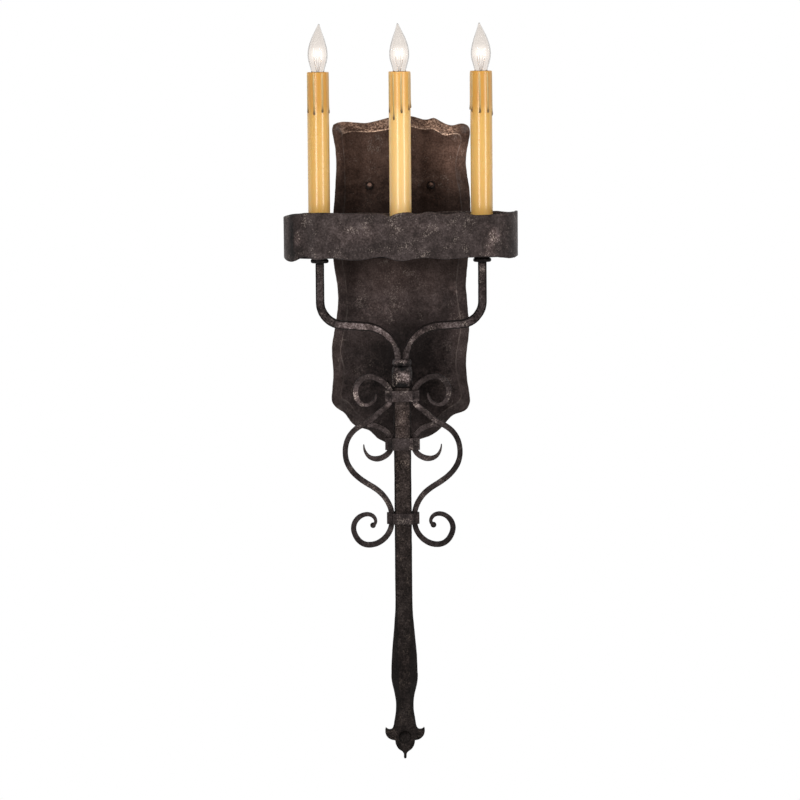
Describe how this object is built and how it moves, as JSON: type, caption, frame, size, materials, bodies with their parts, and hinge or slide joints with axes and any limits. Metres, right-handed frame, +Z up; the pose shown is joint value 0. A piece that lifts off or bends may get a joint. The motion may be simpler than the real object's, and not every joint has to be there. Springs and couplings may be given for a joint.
{
  "type": "candle wall light",
  "caption": "Forged iron wall light: wavy shield back plate, racetrack tray of wax-drip candle sleeves with flame-tip bulbs on bent arms, over a scrolled stem with fleur finial.",
  "frame": {"origin": "wall plane, midway between the two mounting screws of the back plate (centre of the outlet box)", "axes": "+X to the right seen from the front, +Y into the wall, +Z up; the front faces -Y"},
  "size_m": [0.262, 0.13, 0.8288],
  "materials": {
    "iron": "hammered dark bronze paint, rubbed lighter on edges",
    "zinc_steel": "zinc plated",
    "ground_green": "green ground screw",
    "lead_sleeve": "insulated lead",
    "socket_phenolic": "moulded phenolic",
    "brass_shell": "plain",
    "wax": "honey resin with wax drips",
    "bulb_cap": "plain",
    "bulb_solder": "solder",
    "bulb_glass": "clear",
    "filament": "drawn wire"
  },
  "bodies": {
    "fixture": {"backplate": "iron", "cap_knobs": "iron", "hub_barrel": "iron", "hub_ring": "iron", "standoff_bar": "iron", "stem": "iron", "finial_rivet": "iron", "collar_upper": "iron", "collar_middle": "iron", "collar_lower": "iron", "scroll_large_left": "iron", "scroll_large_right": "iron", "scroll_small_left": "iron", "scroll_small_right": "iron", "arm_left": "iron", "arm_right": "iron", "arm_washers": "iron", "tray_band": "iron", "tray_cover": "iron", "tray_floor": "iron", "crossbar": "zinc_steel", "mounting_studs": "zinc_steel", "stud_lock_nuts": "zinc_steel", "standoff_washer": "zinc_steel", "standoff_nut": "zinc_steel", "centre_bolt": "zinc_steel", "fixing_nuts": "zinc_steel", "wire_tube": "zinc_steel", "tube_nuts": "zinc_steel", "ground_screw": "ground_green", "lead_wires": "lead_sleeve", "socket_bracket_left": "zinc_steel", "socket_body_left": "socket_phenolic", "socket_shell_left": "brass_shell", "socket_contact_left": "brass_shell", "socket_bracket_centre": "zinc_steel", "socket_body_centre": "socket_phenolic", "socket_shell_centre": "brass_shell", "socket_contact_centre": "brass_shell", "socket_bracket_right": "zinc_steel", "socket_body_right": "socket_phenolic", "socket_shell_right": "brass_shell", "socket_contact_right": "brass_shell"},
    "tip_left": {"bulb_tip_left": "bulb_solder"},
    "bulb_left": {"bulb_base_left": "bulb_cap", "bulb_glass_left": "bulb_glass", "bulb_filament_left": "filament"},
    "sleeve_left": {"sleeve_left": "wax"},
    "tip_centre": {"bulb_tip_centre": "bulb_solder"},
    "bulb_centre": {"bulb_base_centre": "bulb_cap", "bulb_glass_centre": "bulb_glass", "bulb_filament_centre": "filament"},
    "sleeve_centre": {"sleeve_centre": "wax"},
    "tip_right": {"bulb_tip_right": "bulb_solder"},
    "bulb_right": {"bulb_base_right": "bulb_cap", "bulb_glass_right": "bulb_glass", "bulb_filament_right": "filament"},
    "sleeve_right": {"sleeve_right": "wax"}
  },
  "joints": [
    {"name": "bulb_rise_left", "type": "slide", "parent": "fixture", "child": "tip_left", "axis": [0, 0, 1], "range_m": [0, 0.00762]},
    {"name": "bulb_turn_left", "type": "hinge", "parent": "tip_left", "child": "bulb_left", "pos_m": [-0.09099, -0.09, 0.1], "axis": [0, 0, 1], "range_deg": [0, 1080]},
    {"name": "sleeve_lift_left", "type": "slide", "parent": "fixture", "child": "sleeve_left", "axis": [0, 0, 1], "range_m": [0, 0.008]},
    {"name": "bulb_rise_centre", "type": "slide", "parent": "fixture", "child": "tip_centre", "axis": [0, 0, 1], "range_m": [0, 0.00762]},
    {"name": "bulb_turn_centre", "type": "hinge", "parent": "tip_centre", "child": "bulb_centre", "pos_m": [0, -0.09, 0.1], "axis": [0, 0, 1], "range_deg": [0, 1080]},
    {"name": "sleeve_lift_centre", "type": "slide", "parent": "fixture", "child": "sleeve_centre", "axis": [0, 0, 1], "range_m": [0, 0.008]},
    {"name": "bulb_rise_right", "type": "slide", "parent": "fixture", "child": "tip_right", "axis": [0, 0, 1], "range_m": [0, 0.00762]},
    {"name": "bulb_turn_right", "type": "hinge", "parent": "tip_right", "child": "bulb_right", "pos_m": [0.09099, -0.09, 0.1], "axis": [0, 0, 1], "range_deg": [0, 1080]},
    {"name": "sleeve_lift_right", "type": "slide", "parent": "fixture", "child": "sleeve_right", "axis": [0, 0, 1], "range_m": [0, 0.008]}
  ],
  "couplings": [
    {"joint": "bulb_turn_left", "follows": "bulb_rise_left", "rad_per_m": 2473.7},
    {"joint": "bulb_turn_centre", "follows": "bulb_rise_centre", "rad_per_m": 2473.7},
    {"joint": "bulb_turn_right", "follows": "bulb_rise_right", "rad_per_m": 2473.7}
  ]
}
